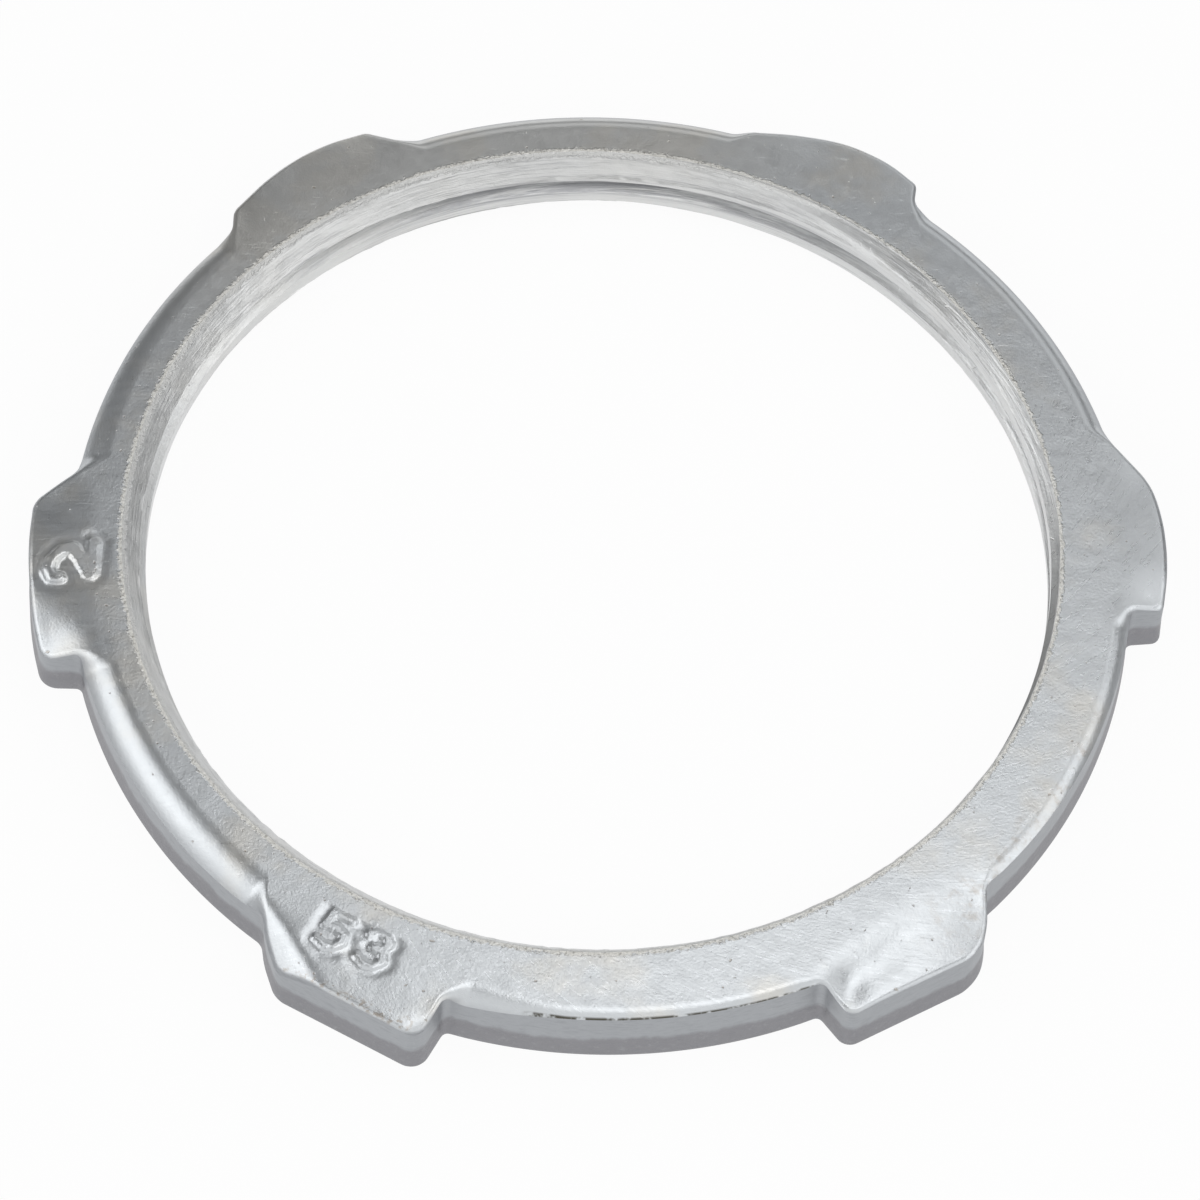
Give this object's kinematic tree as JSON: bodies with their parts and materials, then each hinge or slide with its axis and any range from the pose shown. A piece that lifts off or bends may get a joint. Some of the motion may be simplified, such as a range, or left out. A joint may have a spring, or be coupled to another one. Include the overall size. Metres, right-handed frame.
{
  "type": "conduit locknut",
  "caption": "Flat zinc-plated steel conduit locknut: a threaded ring with square driving lugs round its rim, a rolled-over top edge and a flat back.",
  "frame": {"origin": "on the thread's axis, in the plane of the flat bottom face that the nut rests on", "axes": "+Z along the thread's axis, out of the rolled-over marked face; +X to the right and +Y away from the viewer of the picture"},
  "size_m": [0.0736, 0.0708, 0.0047],
  "materials": {
    "zinc_plated_steel": "satin zinc plating with fine scratches, small pits and faint brown stains"
  },
  "bodies": {
    "root": {"locknut": "zinc_plated_steel"}
  },
  "joints": []
}
